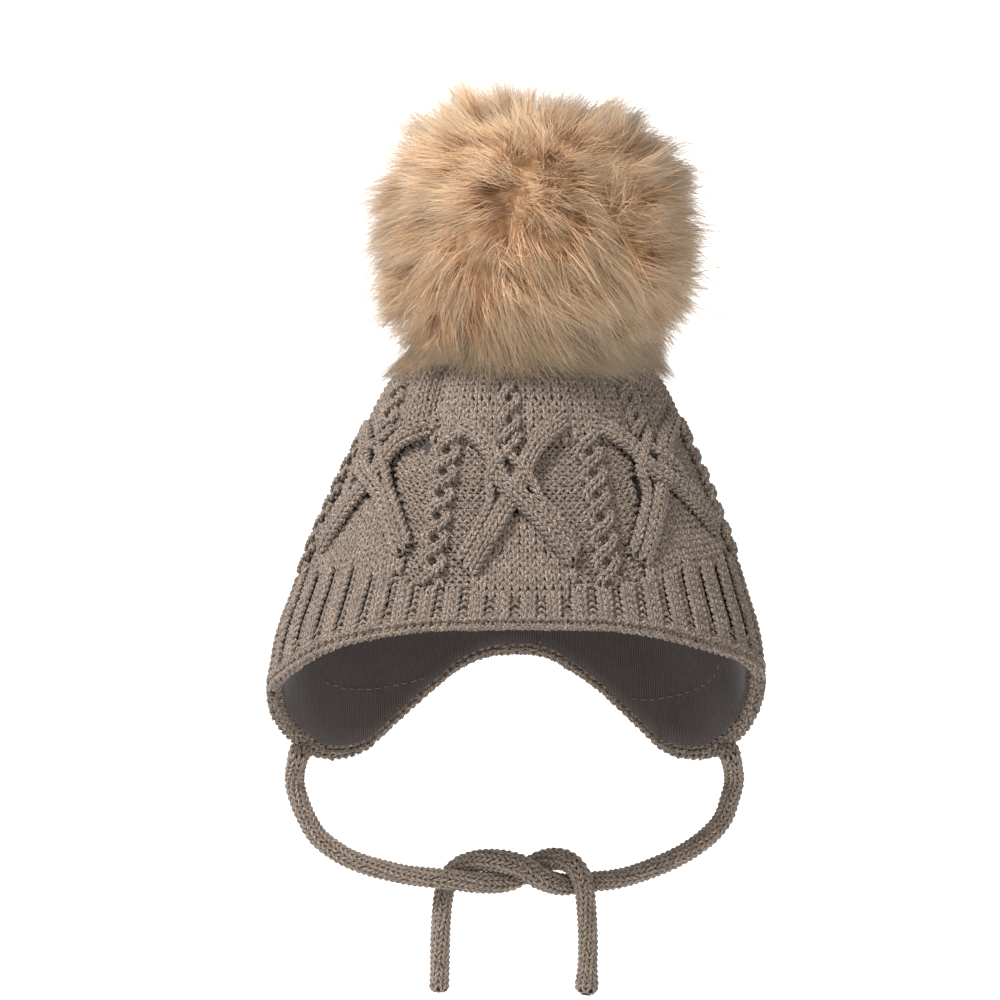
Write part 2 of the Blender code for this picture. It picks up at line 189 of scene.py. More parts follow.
def skin(run, angle, out=0.0, folds=1.0):
    """Points of the knit's outer face moved outwards by out, all in millimetres."""
    run, angle = np.broadcast_arrays(np.asarray(run, float), np.asarray(angle, float))
    half, z = half_at(run), height_at(run)
    nr, nz = -np.interp(run, RUN, SLOPE[:, 1]), np.interp(run, RUN, SLOPE[:, 0])
    out = out - folds * fold_depth(angle, z)
    across = np.maximum(half + out * nr, 0.02 * half)
    depth = np.maximum(DEPTH_SHARE * half + out * nr, 0.02 * half)
    z = z + out * nz
    a = np.radians(angle)
    return np.stack([AXIS_LEAN * z + across * np.sin(a), -depth * np.cos(a), z], axis=-1)


print("once round the brim", round(float(around(run_at(-128))), 1), "mm")

# %% [markdown]
# ## Yarn
# A yarn is a thin tube along a line of points. All loops of one piece go into one mesh as whole
# arrays: rings of corners around each point, joined by quads. Each tube carries two UV maps: one
# runs along and around the yarn for the plies and fibres, the other gives every loop its own
# place on a sheet, so the pattern can be baked for other programs.

# %% Tubes
def unit(v):
    return v / np.maximum(np.linalg.norm(v, axis=-1, keepdims=True), 1e-12)


def fill_mesh(name, points, *faces):
    """A smooth shaded mesh from corners and arrays of faces, each of one number of corners."""
    mesh = bpy.data.meshes.new(name)
    loops = np.concatenate([f.reshape(-1) for f in faces])
    sizes = np.concatenate([np.full(len(f), f.shape[1]) for f in faces])
    starts = np.concatenate([[0], np.cumsum(sizes)[:-1]])
    mesh.vertices.add(len(points))
    mesh.vertices.foreach_set("co", np.asarray(points, np.float32).reshape(-1))
    mesh.loops.add(len(loops))
    mesh.loops.foreach_set("vertex_index", loops.astype(np.int32))
    mesh.polygons.add(len(sizes))
    mesh.polygons.foreach_set("loop_start", starts.astype(np.int32))
    mesh.polygons.foreach_set("use_smooth", np.ones(len(sizes), bool))
    mesh.update()
    mesh.validate()
    piece = bpy.data.objects.new(name, mesh)
    bpy.context.collection.objects.link(piece)
    return piece


def set_uv(mesh, name, values):
    layer = mesh.uv_layers.new(name=name)
    layer.data.foreach_set("uv", np.asarray(values, np.float32).reshape(-1))


def tube_arrays(lines, up, radius, sides):
    """Rings of corners: line + radius times (cosine of the turn along up, sine along the side)."""
    ahead = unit(np.gradient(lines, axis=1))
    side = unit(np.cross(ahead, up))
    top = np.cross(side, ahead)
    turn = 2 * np.pi * (np.arange(sides) + 0.5) / sides
    radius = np.broadcast_to(radius, lines.shape[:2])[:, :, None, None]
    ring = (np.cos(turn)[:, None] * top[:, :, None, :] + np.sin(turn)[:, None] * side[:, :, None, :])
    return lines[:, :, None, :] + radius * ring


def sheet_cells(count, along, turn):
    """A place on a sheet for each of count tubes: one cell each, along and turn from 0 to 1."""
    wide = int(math.ceil(math.sqrt(count / 2)))
    high = int(math.ceil(count / wide))
    place = np.arange(count).reshape(-1, *[1] * (along.ndim - 1))
    return (place % wide + 0.04 + 0.92 * along) / wide, (place // wide + 0.06 + 0.88 * turn) / high


def set_points(mesh, name, values):
    layer = mesh.attributes.new(name, "FLOAT", "POINT")
    layer.data.foreach_set("value", np.asarray(values, np.float32))


def yarn_piece(name, lines, up, thick, radius=1.0, sides=4):
    """Closed tubes along many lines of as many points each, radius times thick at each point."""
    count, steps = lines.shape[:2]
    corners = tube_arrays(lines, up, radius * thick, sides)
    index = np.arange(count * steps * sides).reshape(count, steps, sides)
    a, b = index[:, :-1], index[:, 1:]
    quads = np.stack([a, np.roll(a, -1, 2), np.roll(b, -1, 2), b], axis=-1).reshape(-1, 4)
    caps = np.stack([index[:, 0, ::-1], index[:, -1]], 1).reshape(-1, sides)
    piece = fill_mesh(name, corners.reshape(-1, 3) * MM, quads, caps)
    length = np.concatenate([np.zeros((count, 1)),
                             np.cumsum(np.linalg.norm(np.diff(lines, axis=1), axis=2), 1)], 1)
    along = np.broadcast_to(length[:, :, None], (count, steps, sides + 1))
    turn = np.broadcast_to(np.arange(sides + 1) / sides, along.shape)

    def at_corners(*values):
        """The values at every face's corners, in the faces' own order."""
        sheets = []
        for x in values:
            wall = np.stack([x[:, :-1, :-1], x[:, :-1, 1:], x[:, 1:, 1:], x[:, 1:, :-1]], axis=-1)
            ends = np.stack([x[:, 0, -2::-1], x[:, -1, :-1]], 1)
            sheets.append(np.concatenate([wall.reshape(-1), ends.reshape(-1)]))
        return np.stack(sheets, -1)

    start = (np.arange(count) * 0.618 % 1.0)[:, None, None] * 37.0
    set_uv(piece.data, "Yarn", at_corners(along + start, turn + 0 * start))
    share = along / np.maximum(length[:, -1:, None], 1e-6)
    set_uv(piece.data, "OFBake", at_corners(*sheet_cells(count, share, turn)))
    set_points(piece.data, "loop_tint", np.repeat(rng.random(count), steps * sides))
    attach(piece, "root")
    print(name, "loops", count, "triangles", 2 * len(quads) + (sides - 2) * len(caps))
    return piece


# %% [markdown]
# ## A knit loop
# One stitch is one turn of a wave that folds back on itself. Across, it moves on steadily plus a
# sine of twice the turn, which makes the head wide and the neck narrow; upwards it is a cosine;
# outwards it is a cosine of twice the turn, so on a knit stitch the legs lie in front, and on a
# purl stitch, with the sign changed, the head and foot do. The yarn is pressed thin where it
# passes behind, so each leg shows as a plump grain and a row of stitches reads as a row of Vs.

# %% Loops
YARN_RADIUS = 0.91
LOOP_LEAN = 0.35
LOOP_RISE = 0.90
LOOP_DEPTH = 0.85
PRESSED = 0.58
STEPS = 8
TURN = np.linspace(-np.pi, np.pi, STEPS + 1)


def loop_lines(place, x, width, y, rise, kind, kind_left, kind_right, lift):
    """Centre lines of loops, their outward directions and thickness, by place(across, up, out).

    across = x + width (turn / 2 pi + LOOP_LEAN sin 2 turn), up = y + rise LOOP_RISE cos turn,
    out = lift - LOOP_DEPTH kind cos 2 turn, where kind fades to the neighbours' mean at the ends.
    The thickness goes from PRESSED at the back to one in front by a cosine of twice the turn.
    """
    x, width, y, rise, kind, kind_left, kind_right, lift = (
        np.asarray(v, float).reshape(-1, 1) for v in
        np.broadcast_arrays(x, width, y, rise, kind, kind_left, kind_right, lift))
    across = x + width * (TURN / (2 * np.pi) + LOOP_LEAN * np.sin(2 * TURN))
    up = y + rise * LOOP_RISE * np.cos(TURN)
    ends = np.where(TURN < 0, kind_left, kind_right)
    share = np.clip(np.abs(TURN) / np.pi * 2 - 1, 0, 1)
    out = lift - LOOP_DEPTH * np.cos(2 * TURN) * (kind + (ends - kind) * share / 2)
    at = place(across, up, out)
    thick = PRESSED + (1 - PRESSED) * (1 - kind * np.cos(2 * TURN)) / 2
    return at, unit(place(across, up, out + 1.0) - at), thick


def joined(parts):
    """The lines, directions and thicknesses of several sets of loops as one set."""
    return [np.concatenate(arrays) for arrays in zip(*parts)]


# %% [markdown]
# ## The ties
# Each tie is a knitted cord: a few stitches wide, closed to a tube. The route is a smooth curve
# through listed points, out of the flap's tip, down in a loop, through the half knot and to
# its free end. The stitches are laid around that curve.

# %% Tie routes
FLAP_THICKNESS, TIE_DIAMETER, TIE_GAP = 3.0, 6.5, 1.0
TIE_EXIT_ANGLE = {"tie_left": -116.4, "tie_right": 116.4}
TIE_ROUTE = {
    "tie_left": (
        (-89.8, 27.6, -167.2), (-88.0, 28.0, -174.9), (-84.7, 28.0, -182.6), (-79.3, 28.0, -190.2),
        (-67.1, 28.0, -197.9), (-48.9, 26.4, -203.0), (-32.5, 24.0, -204.9), (-17.5, 26.5, -206.4),
        (-7.5, 30.0, -205.6), (-0.5, 32.0, -202.1), (6.5, 31.0, -198.3), (13.5, 27.5, -197.6),
        (18.6, 24.6, -200.6), (21.4, 24.0, -206.0), (22.6, 24.6, -214.0), (23.4, 27.0, -229.2),
        (22.9, 28.0, -245.1), (22.4, 28.0, -249.9)),
    "tie_right": (
        (80.1, 27.6, -167.2), (78.2, 28.0, -174.9), (75.3, 28.0, -182.6), (68.1, 28.0, -190.2),
        (55.5, 28.0, -197.9), (37.5, 30.2, -204.6), (21.8, 32.0, -206.6), (13.0, 29.5, -207.2),
        (5.0, 25.4, -204.6), (-2.5, 24.0, -200.0), (-11.0, 25.0, -198.0), (-20.6, 28.6, -198.4),
        (-27.6, 31.2, -201.6), (-31.2, 32.2, -207.4), (-32.8, 31.2, -216.5), (-33.4, 28.6, -229.0),
        (-33.6, 28.0, -241.0), (-33.8, 28.0, -248.7)),
}


def tie_line(name, step):
    """The tie's curve, from the flap's edge through the route, in millimetres."""
    angle = TIE_EXIT_ANGLE[name] + np.array([-1.5, 0.0, 1.5])
    edge = skin(flap_run(angle), angle, -0.25 - FLAP_THICKNESS / 2)
    lie = unit(edge[2] - edge[0])
    away = unit(np.array([0, 0, -1.0]) + lie * lie[2])
    start = edge[1] + away * TIE_GAP
    return smooth_line([start, start + away * 4.0, *TIE_ROUTE[name]], step)


def carried_frames(line):
    """Directions across a curve carried along it without twist."""
    ahead = unit(np.gradient(line, axis=0))
    first = unit(np.cross(ahead[0], [0.0, 1.0, 0.0]))
    sides = [first]
    for a in ahead[1:]:
        s = sides[-1] - a * (sides[-1] @ a)
        sides.append(s / np.linalg.norm(s))
    sides = np.array(sides)
    return ahead, sides, np.cross(ahead, sides)


TIE_ROW, TIE_COLUMNS, TIE_TWIST = 2.2, 6, 0.8
# the cord is fuller in the knot: by what share, middle and reach across, lowest height
TIE_KNOT_FULLER, TIE_KNOT_MIDDLE, TIE_KNOT_REACH, TIE_KNOT_LOW = 0.25, -1.5, 20.0, -211.0


def tie_piece(name):
    """Stitches round the tie's curve: across is the turn, up is the way along, out the radius."""
    line = tie_line(name, 0.5)
    along = lengths_along(line)
    _, side, other = carried_frames(line)
    rows = int(along[-1] / TIE_ROW)

    def place(across, up, out):
        s = np.clip(up * TIE_ROW, 0, along[-1])
        at, e, f = (np.stack([np.interp(s, along, v[:, k]) for k in range(3)], -1)
                    for v in (line, side, other))
        turn = 2 * np.pi * (across / TIE_COLUMNS + TIE_TWIST * s / along[-1])
        end = np.clip((along[-1] - s) / 2.0, 0, 1) ** 0.5
        bulge = 1 + 0.26 * np.exp(-((along[-1] - s - 5.0) / 4.0) ** 2) * (name == "tie_left")
        start = 1 + 0.18 * np.exp(-(s / 5.0) ** 2)
        near = np.exp(-((at[..., 0] - TIE_KNOT_MIDDLE) / TIE_KNOT_REACH) ** 2)
        knot = 1 + TIE_KNOT_FULLER * near * (at[..., 2] > TIE_KNOT_LOW)
        radius = (TIE_DIAMETER / 2 - 0.35) * bulge * start * knot * (0.6 + 0.4 * end) + out
        radius = radius[..., None]
        return at + radius * (np.cos(turn)[..., None] * unit(e) + np.sin(turn)[..., None] * unit(f))

    row, column = np.divmod(np.arange(rows * TIE_COLUMNS), TIE_COLUMNS)
    jitter = rng.normal(0, 0.035, (2, len(row)))
    loops = loop_lines(place, column + 0.5 + jitter[0], 1.0, row + 0.5 + jitter[1],
                       1.0, 0.7, 0.7, 0.7, 0.0)
    return yarn_piece(name + "_knit", *loops, 0.78), line


def tie_core(name, line):
    """A dark tube inside the tie, so that nothing shows through between the loops; its dark colour
    is painted shade.
    """
    short = np.vstack([line[:-4:4], line[-2:-1]])
    ahead, side, _ = carried_frames(short)
    thick = np.full((1, len(short)), TIE_DIAMETER / 2 - 0.9)
    thick[0, -1] = 1.9
    return yarn_piece(name + "_core", short[None], side[None], thick, sides=8)


ties = {}
for name in ("tie_left", "tie_right"):
    knit, line = tie_piece(name)
    core = tie_core(name, line)
    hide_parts(name)
    ties[name] = (knit, core)

# %% [markdown]
# ## Rows and columns on the crown
# The crown has two zones. The ribbed band keeps its rows level with the lower edge, and the
# pattern above it has rows that rise from the band's top to the dome. A repeat loses stitches
# towards the top, at its borders, so its middle columns stay upright.

# %% Zones
ROW = 2.5
DOME_RUN = 47.0
PATTERN_ROWS = 34
REPEATS = 6
STITCH = 3.3
COLUMN_LEAN = 0.13


def rim_run(angle):
    return run_at(by_angle(RIM, angle))


def band_run(angle):
    """Run of the band's top, where the pattern starts."""
    return run_at(by_angle(RIM, angle) + np.interp(np.abs(angle), BAND[:, 0], BAND[:, 1]))


def pattern_run(low, row):
    """Run of a pattern row over a band whose top is at the run low."""
    return np.where(row <= PATTERN_ROWS, low - (low - DOME_RUN) * row / PATTERN_ROWS,
                    DOME_RUN - (row - PATTERN_ROWS) * ROW)


def front_run(row):
    return pattern_run(band_run(0.0), row)


TUCK_ANGLE, TUCK_DEPTH, TUCK_HEAL = -33.5, 3.4, 5.0
TUCK_TOP, TUCK_BOTTOM, TUCK_FADE = -2.0, -52.0, 10.0
# the crease leans by TUCK_LEAN degrees over TUCK_LEAN_RISE, from TUCK_LEAN_FOOT upwards
TUCK_LEAN, TUCK_LEAN_FOOT, TUCK_LEAN_RISE = 4.0, -45.0, 30.0


def tuck(angle, run):
    """The crease left of the middle panel: a sharp step down that heals over ten degrees."""
    z = height_at(run)
    middle = TUCK_ANGLE - TUCK_LEAN * np.clip((z - TUCK_LEAN_FOOT) / TUCK_LEAN_RISE, -0.3, 1)
    off = middle - angle
    fade = np.clip((z - TUCK_BOTTOM) / TUCK_FADE, 0, 1) * np.clip((TUCK_TOP - z) / TUCK_FADE, 0, 1)
    drop = np.where(off > 0, np.clip(off, 0, 1) * np.exp(-off / TUCK_HEAL), 0.0)
    return -TUCK_DEPTH * drop * fade


def drawn_in(share, row):
    """The front repeat is narrower than the others, and the columns lean left as they rise.

    share - (0.016 - 0.0003 row) sin(2 pi share), less COLUMN_LEAN millimetres a row.
    """
    row = np.clip(row, 0, PATTERN_ROWS)
    return (share - (0.016 - 0.0003 * row) * np.sin(2 * np.pi * share)
            - COLUMN_LEAN * row / around(front_run(row)))


def place_pattern(share, row, out):
    """Pattern rows: 0 at the band's top, PATTERN_ROWS where the dome starts, one ROW each above."""
    angle = angle_of(drawn_in(share, row))
    run = pattern_run(band_run(angle), row)
    return skin(run, angle, out + tuck(angle, run))


def place_band(share, row, out):
    """Band rows: 0 at the lower edge, one ROW each upwards."""
    angle = angle_of(share)
    return skin(rim_run(angle) - row * ROW, angle, out)


# %% The ribbed band
RIB = (1, 1, -1)
BAND_STITCHES, BAND_ROWS = 144, 18


def band_loops():
    """Two knit columns and one purl column, again and again, cut off at the band's top."""
    row, column = np.divmod(np.arange(BAND_ROWS * BAND_STITCHES), BAND_STITCHES)
    share = (column + 0.5) / BAND_STITCHES - 0.5
    angle = angle_of(share)
    inside = (row + 0.6) * ROW < rim_run(angle) - band_run(angle)
    kinds = np.array(RIB)
    kind, left, right = kinds[column % 3], kinds[(column - 1) % 3], kinds[(column + 1) % 3]
    lift = np.where(kind > 0, -0.85, np.where(row > 2, -2.1, -1.4))
    garter = row < 1
    kind, left, right = (np.where(garter, -0.4, np.where((row == 1) & (k < 0), -0.5, k))
                         for k in (kind, left, right))
    lift = np.where(garter, -0.7, lift) + rng.normal(0, 0.12, len(row)) * garter
    shift = np.where(kind > 0, np.where(column % 3 == 0, 0.12, -0.12), 0.0)
    jitter = rng.normal(0, 0.035, (2, len(row)))
    keep = np.flatnonzero(inside)
    return loop_lines(place_band, (share + (jitter[0] + shift) / BAND_STITCHES)[keep],
                      1 / BAND_STITCHES, (row + 0.5 + jitter[1])[keep], 1.0, kind[keep],
                      left[keep], right[keep], lift[keep])


band = yarn_piece("crown_band", *band_loops(), YARN_RADIUS)

# %% [markdown]
# ## The cable pattern
# Each repeat holds a knot of four strands: two arms come down from the sides, two single strands
# from a small ring column above, and they cross and spread into legs that frame a smooth
# triangle. Between the repeats runs a column of rings, two strands that cross again and again.
# The ground beside them is purl and lies deeper, so the strands stand out.

# %% Strands
# across in mm from the repeat's middle, row, lift
OUTER_OVER = ((-20.5, 22.3, -0.6), (-15.2, 21.3, 0.6), (-10.4, 19.6, 1.1), (-6.6, 17.6, 1.3),
              (-5.2, 15.6, 1.5), (-3.4, 14.0, 1.9), (0.8, 12.5, 2.5), (6.5, 10.7, 2.2),
              (12.7, 8.1, 1.7), (18.4, 5.3, 1.2), (22.5, 3.2, 0.2))
OUTER_UNDER = ((22.0, 23.2, -0.6), (18.0, 22.0, 0.6), (13.4, 20.4, 1.1), (9.2, 18.6, 1.3),
               (6.2, 16.6, 1.2), (4.4, 14.8, 1.2), (0.8, 12.7, 0.5), (-3.6, 10.5, 1.5),
               (-10.1, 7.2, 1.5), (-16.7, 3.9, 0.9), (-20.5, 2.2, 0.2))
INNER_LEFT = ((4.0, 21.0, 0.1), (0.6, 19.0, 1.0), (-4.2, 17.0, 2.2), (-8.4, 14.9, 1.7),
              (-8.6, 12.9, 1.3), (-9.6, 10.8, 1.1), (-14.0, 8.4, 0.9), (-20.6, 5.1, 0.5),
              (-24.0, 3.6, 0.1))
INNER_RIGHT = ((-1.4, 18.6, 0.2), (1.6, 17.0, 1.3), (5.6, 15.4, 2.2), (8.8, 13.6, 1.9),
               (10.4, 12.0, 1.3), (15.7, 9.6, 1.0), (21.4, 6.8, 0.6), (24.6, 5.0, 0.1))
STRANDS = ((OUTER_OVER, 2), (OUTER_UNDER, 2), (INNER_LEFT, 1), (INNER_RIGHT, 1))
STRAND_ROW, STRAND_WIDTH = 2.45, 3.3
STRAND_SINK, STRAND_LIFT, STRAND_CROWN = -0.7, 1.0, 0.85


def knot_middle(row):
    """How far a repeat's knot stands to the left of its middle, in millimetres."""
    return -np.clip(0.2 * np.asarray(row, float), 0, 3.0)


def strand_loops(centre, points, columns, width=STRAND_WIDTH):
    """Stitches along a strand: its columns lie beside its path, its rows follow it."""
    path = smooth_line([(x, row * ROW, lift) for x, row, lift in points], 0.4)
    along = lengths_along(path[:, :2])
    ahead = unit(np.gradient(path[:, :2], axis=0))
    aside = np.stack([ahead[:, 1], -ahead[:, 0]], 1)

    def place(across, up, out):
        s = up * STRAND_ROW
        px, py, lift, ax, ay = (np.interp(s, along, v) for v in
                                (path[:, 0], path[:, 1], path[:, 2], aside[:, 0], aside[:, 1]))
        x, row = px + across * width * ax, (py + across * width * ay) / ROW
        crown = STRAND_CROWN * (1 - (2 * across / columns) ** 2)
        return place_pattern(centre + x / around(front_run(row)), row,
                             out + STRAND_SINK + STRAND_LIFT * lift + crown)

    rows = int(along[-1] / STRAND_ROW)
    row, column = np.divmod(np.arange(rows * columns), columns)
    jitter = rng.normal(0, 0.03, (2, len(row)))
    return loop_lines(place, column + 0.5 - columns / 2 + jitter[0], 1.0,
                      rows - row - 0.5 + jitter[1], -1.0, 1, 1, 1, 0.0)


def ring_strands(x0, low, high, lead, reach, period, lift):
    """Two strands that swing to and fro by a sine, first crossing lead rows below the start."""
    s = np.arange(low * ROW, high * ROW, period / 8)
    phase = np.pi * (s - (low - lead) * ROW) / period
    return [tuple(zip(x0 + sign * reach * np.sin(phase), s / ROW,
                      lift + sign * 0.75 * np.cos(phase))) for sign in (1, -1)]


RINGS = dict(low=0.3, high=21.8, lead=1.4, reach=4.1, period=7.5, lift=-0.7)
SMALL_RINGS = dict(low=19.9, high=28.5, lead=1.5, reach=3.1, period=7.4, lift=-0.3)
parts = []
for repeat in range(REPEATS):
    centre = repeat / REPEATS
    for points, columns in STRANDS:
        off_middle = [(x + float(knot_middle(row)), row, lift) for x, row, lift in points]
        parts.append(strand_loops(centre, off_middle, columns))
    for points in ring_strands(float(knot_middle(24)), **SMALL_RINGS):
        parts.append(strand_loops(centre, points, 1, 2.9))
    for points in ring_strands(0.0, **RINGS):
        parts.append(strand_loops(centre + 0.5 / REPEATS, points, 1, 3.4))
cables = yarn_piece("crown_cables", *joined(parts), 0.92)


# %% The ground between the strands
TOP_ROW = 36
# lift of the ground's stitches from the skin in mm
KNIT_LIFT, PURL_LIFT, RING_LIFT, SMALL_RING_LIFT = -2.2, -3.6, -3.3, -2.9
# half widths in mm of the deep strips behind the rings, and of what a strand hides
RING_HALF, SMALL_RING_HALF, HIDDEN_HALF = 6.5, 3.4, 1.3
# the opening below each knot: middle across and half width in mm, rows
EYE_MIDDLE, EYE_HALF, EYE_ROWS = -1.4, 2.4, (10, 11)


def strand_places(row):
    """Where the four strands cross a row, in mm from the repeat's middle; far off where none do."""
    places = []
    for path, _ in STRANDS:
        x, r = np.array([(x, r) for x, r, _ in path[::-1]]).T
        places.append(np.interp(row, r, x, left=99.0, right=99.0))
    return np.array(places) + knot_middle(row)


def ground_loops():
    """Knit between the strands and above them, purl beside them, deep behind the rings."""
    out = []
    for row in range(-1, TOP_ROW):
        wide = float(around(front_run(row + 0.5))) / REPEATS
        count = max(4, 2 * round(wide / STITCH / 2))
        column = np.arange(count)
        x = (column + 0.5 - count / 2) / count * wide
        strands = strand_places(max(row + 0.5, 3.4))
        crossed = strands[strands < 90]
        purl = (x < crossed.min()) | (x > crossed.max()) if row < 20 else np.zeros(count, bool)
        ring = wide / 2 - np.abs(x)
        kind = np.where(purl, -1, 1)
        left, right = np.roll(kind, 1), np.roll(kind, -1)
        lift = np.where(purl, PURL_LIFT, KNIT_LIFT)
        lift = lift + 1.2 * np.clip(1 - row / 4, 0, 1) - 0.5 * (row < 0)
        lift = np.where((ring < RING_HALF) & (row < 21), RING_LIFT, lift)
        small = np.abs(x - knot_middle(24)) < SMALL_RING_HALF
        lift = np.where(small & (row > 19) & (row < 28), SMALL_RING_LIFT, lift)
        under = np.abs(x[:, None] - strands).min(1) < HIDDEN_HALF
        eye = (np.abs(x - EYE_MIDDLE) < EYE_HALF) & (row in EYE_ROWS)
        hidden = under & (row < 20) & (row > 2) | eye
        keep = np.flatnonzero(~hidden)
        for repeat in range(REPEATS):
            out.append(np.stack([repeat / REPEATS + x[keep] / (wide * REPEATS),
                                 np.full(len(keep), 1 / (count * REPEATS)),
                                 np.full(len(keep), row + 0.5), kind[keep], left[keep],
                                 right[keep], lift[keep]], 1))
    s = np.concatenate(out)
    jitter = rng.normal(0, 0.035, (2, len(s)))
    return loop_lines(place_pattern, s[:, 0] + jitter[0] * s[:, 1], s[:, 1], s[:, 2] + jitter[1],
                      1.0, s[:, 3], s[:, 4], s[:, 5], s[:, 6])


ground = ground_loops()
low = ground[0][:, 4, 2] < -52.0
ground_low = yarn_piece("crown_ground", *(a[low] for a in ground), YARN_RADIUS)
ground_top = yarn_piece("crown_top", *(a[~low] for a in ground), YARN_RADIUS)

# %% [markdown]
# ## Ear flaps and the edge
# The flaps are plain stitches below the band. A border of purl bumps goes round the whole lower
# edge: it comes down the outside, turns under the edge and goes up the inside to the lining.

# %% Flap stitches
FLAP_ANGLES = (91.0, 168.0)
FLAP_ROWS, FLAP_COLUMNS, FLAP_START, FLAP_WIDE = 16, 26, 90.0, 78.0


def flap_loops(side):
    """Rows level with the crown's edge, kept only above the flap's own edge."""
    row, column = np.divmod(np.arange(FLAP_COLUMNS * FLAP_ROWS), FLAP_COLUMNS)

    def place(across, up, out):
        angle = side * (FLAP_START + across * FLAP_WIDE / FLAP_COLUMNS)
        return skin(rim_run(angle) + up * ROW, angle, out)

    angle = side * (FLAP_START + (column + 0.5) * FLAP_WIDE / FLAP_COLUMNS)
    inside = rim_run(angle) + (row + 0.9) * ROW < flap_run(angle) - 0.5
    inside &= (np.abs(angle) > FLAP_ANGLES[0]) & (np.abs(angle) < FLAP_ANGLES[1])
    keep = np.flatnonzero(inside)
    jitter = rng.normal(0, 0.03, (2, len(keep)))
    return loop_lines(place, column[keep] + 0.5 + jitter[0], side,
                      row[keep] + 0.5 + jitter[1], -1.0, 1, 1, 1, -1.2)


flaps = {}
for name, side in (("ear_flap_left", -1), ("ear_flap_right", 1)):
    flaps[name] = yarn_piece(name + "_knit", *flap_loops(side), YARN_RADIUS)

# %% The edge border
EDGE_TURN, BACK_FADE = 1.75, 9.0
EDGE_PITCH, EDGE_RISE = 3.3, 2.1
# where each row of bumps lies, in mm down the outside and round under the edge
EDGE_STARTS = np.array([-1.4, 1.0, 3.3, 5.4, 7.3])


def edge_run(angle):
    """Run of the lower edge all round: the rim, or the flap, which fades out at the back."""
    rim, back = rim_run(angle), np.clip((np.abs(angle) - FLAP_ANGLES[1]) / BACK_FADE, 0, 1)
    corner = np.sign(angle) * (FLAP_ANGLES[1] - 0.1)
    tail = (flap_run(corner) - rim_run(corner)) * (1 - back) ** 2
    flap = np.maximum(flap_run(angle), rim)
    flap = np.where(np.abs(angle) < FLAP_ANGLES[1], flap, rim + np.maximum(tail, 0))
    return np.where(np.abs(angle) > FLAP_ANGLES[0], flap, rim)


EDGE_ANGLES = np.linspace(-180, 180, 1441)
EDGE_LINE = skin(edge_run(EDGE_ANGLES), EDGE_ANGLES)
EDGE_ALONG = lengths_along(EDGE_LINE)
EDGE_LENGTH = EDGE_ALONG[-1]


def place_edge(across, up, out):
    """Around the edge: up in mm runs down the outside, half a turn under, and up the inside."""
    angle = np.interp(across % EDGE_LENGTH, EDGE_ALONG, EDGE_ANGLES)
    turn = np.clip(up / EDGE_TURN, 0, np.pi)
    over = np.where(up < 0, up, np.where(up > np.pi * EDGE_TURN, np.pi * EDGE_TURN - up, 0))
    run = edge_run(angle) - EDGE_TURN + (EDGE_TURN + out) * np.sin(turn) + over
    inward = EDGE_TURN - (EDGE_TURN + out) * np.cos(turn) + 0.6
    return skin(run, angle, -inward)


def edge_loops():
    """Five rows of purl bumps, staggered. The first, on the outside, is left out in front."""
    columns = int(EDGE_LENGTH / EDGE_PITCH)
    pitch = EDGE_LENGTH / columns
    row, column = np.divmod(np.arange(len(EDGE_STARTS) * columns), columns)
    angle = np.interp(column * pitch, EDGE_ALONG, EDGE_ANGLES)
    keep = (row > 0) | (np.abs(angle) > FLAP_ANGLES[0])
    row, column = row[keep], column[keep]
    jitter = rng.normal(0, 0.12, (2, len(row)))
    return loop_lines(place_edge, (column + 0.5 * (row % 2)) * pitch + jitter[0], pitch,
                      EDGE_STARTS[row] + jitter[1], EDGE_RISE, -1, -1, -1,
                      rng.normal(0, 0.12, len(row)))


edge = yarn_piece("edge_border", *edge_loops(), 0.86)

# %% [markdown]
# ## Backing
# Between the loops of real knitting you see more yarn in shadow. A dark wall just under the
# loops stands for it.

# %% Dark wall under the loops
WALL_OUT, WALL_IN = 2.9, 4.5
# the first ring of a sheet stands this share of the way down, so that its cap has an area
POLE_SHARE = 0.012


def sheet_piece(name, grid):
    """One grid of points as a smooth mesh, joined round, its end rings capped, with a UV map."""
    rows, columns = grid.shape[:2]
    index = np.arange(rows * columns).reshape(rows, columns)
    index = np.concatenate([index, index[:, :1]], 1)
    quads = np.stack([index[:-1, :-1], index[1:, :-1], index[1:, 1:], index[:-1, 1:]], -1)
    caps = np.stack([index[0, :-1], index[-1, -2::-1]])
    piece = fill_mesh(name, grid.reshape(-1, 3) * MM, quads.reshape(-1, 4), caps)
    u, v = np.meshgrid(np.linspace(0, 1, index.shape[1]), np.linspace(0, 1, rows))
    corner = [np.append(np.stack([w[:-1, :-1], w[1:, :-1], w[1:, 1:], w[:-1, 1:]], -1),
                        [w[0, :-1], w[-1, -2::-1]]) for w in (u, v)]
    set_uv(piece.data, "Cloth", np.stack(corner, -1))
    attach(piece, "root")
    print(name, "quads", len(quads.reshape(-1, 4)))
    return piece


def wall_grid(columns=120, rows=24):
    """Down the outside from the crest to the edge, deeper behind the pattern, and back up."""
    angle = angle_of(np.arange(columns) / columns - 0.5)
    share = np.linspace(POLE_SHARE, 1, rows)[:, None]
    run = share * (edge_run(angle) - 1.6)
    high = np.clip((band_run(angle) - run) / 4.0, 0, 1)
    outer = skin(run, angle, -WALL_OUT - high + 0.4 * tuck(angle, run))
    inner = skin(run, angle, -WALL_IN)[::-1]
    return np.concatenate([outer, inner])


wall = sheet_piece("crown_wall", wall_grid())

# %% [markdown]
# ## The lining
# A fine jersey bag inside the hat. It covers the crown and both flaps and ends at the border. It
# is one grid, a closed sheet about one and a half millimetres thick, with faint wrinkles, a
# gathered seam at the back and a row of topstitches on each side, where the parts meet.

